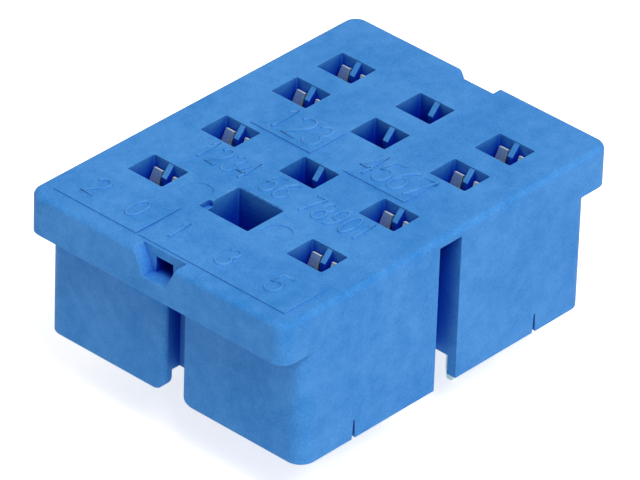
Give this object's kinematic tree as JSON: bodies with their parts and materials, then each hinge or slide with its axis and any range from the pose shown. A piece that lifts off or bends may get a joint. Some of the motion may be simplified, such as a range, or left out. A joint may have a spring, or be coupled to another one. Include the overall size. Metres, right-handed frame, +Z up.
{
  "type": "relay socket",
  "caption": "Low board-mount socket for a flat-blade plug-in relay: blue moulded housing with an overhanging top plate, clip funnels, forked contacts and flat solder pins.",
  "frame": {"origin": "centre of the housing on the plane of the circuit board, which is the rim of its skirt", "axes": "+X along the housing from the coil end to the contact end, +Y across it, +Z up out of the face that takes the relay"},
  "size_m": [0.0292, 0.0212, 0.0151],
  "materials": {
    "housing_plastic": "fine matte moulded surface",
    "contact_metal": "tin-plated, satin"
  },
  "bodies": {
    "root": {"housing": "housing_plastic", "contact_a1": "contact_metal", "contact_a2": "contact_metal", "contact_11": "contact_metal", "contact_12": "contact_metal", "contact_14": "contact_metal", "contact_21": "contact_metal", "contact_22": "contact_metal", "contact_24": "contact_metal"}
  },
  "joints": []
}
